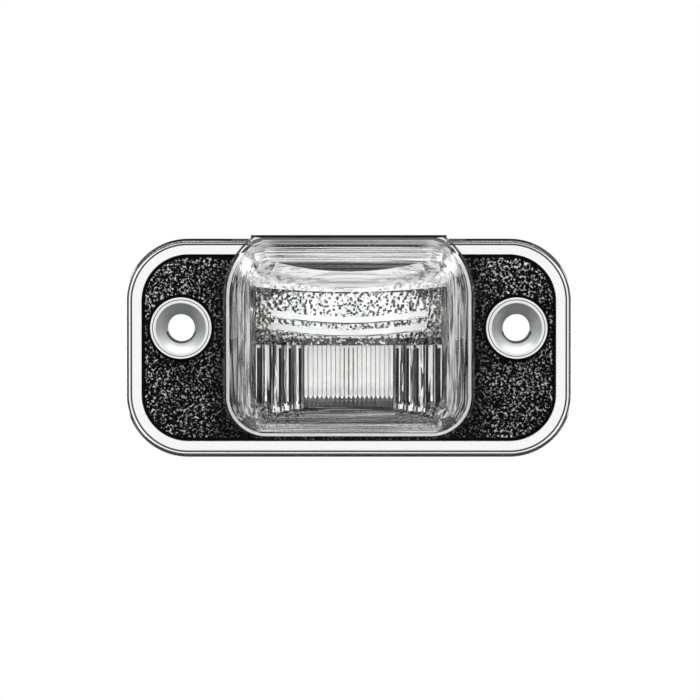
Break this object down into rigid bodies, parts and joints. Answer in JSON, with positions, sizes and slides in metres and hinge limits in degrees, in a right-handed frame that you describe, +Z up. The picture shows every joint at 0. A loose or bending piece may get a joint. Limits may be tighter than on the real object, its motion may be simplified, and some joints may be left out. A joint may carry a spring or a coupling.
{
  "type": "number plate lamp",
  "caption": "Small rectangular number plate lamp with an arched clear lens block, black grained backing plate and countersunk steel screw eyelets.",
  "frame": {"origin": "midway between the two screw holes, on the plane of the gasket's rear face", "axes": "+X to the right seen from the front, +Z up, the lens faces -Y"},
  "size_m": [0.0744, 0.037, 0.037],
  "materials": {
    "clear_lens": "clear polished moulding",
    "black_plastic": "fine grained black moulding",
    "gasket_rubber": "matt foam rubber",
    "plated_steel": "bright zinc plated",
    "pale_reflector": "white moulding",
    "bulb_glass": "pearl glass tube, frosted inside",
    "cap_metal": "nickel plated",
    "filament_metal": "dull tungsten wire",
    "contact_strip": "tinned stamped strip"
  },
  "bodies": {
    "root": {"lens": "clear_lens", "base": "black_plastic", "body_gasket": "gasket_rubber", "eyelet_left": "plated_steel", "eyelet_right": "plated_steel", "reflector": "pale_reflector", "bulb_glass": "bulb_glass", "bulb_cap_left": "cap_metal", "bulb_cap_right": "cap_metal", "filament": "filament_metal", "contact_left": "contact_strip", "contact_right": "contact_strip"}
  },
  "joints": []
}
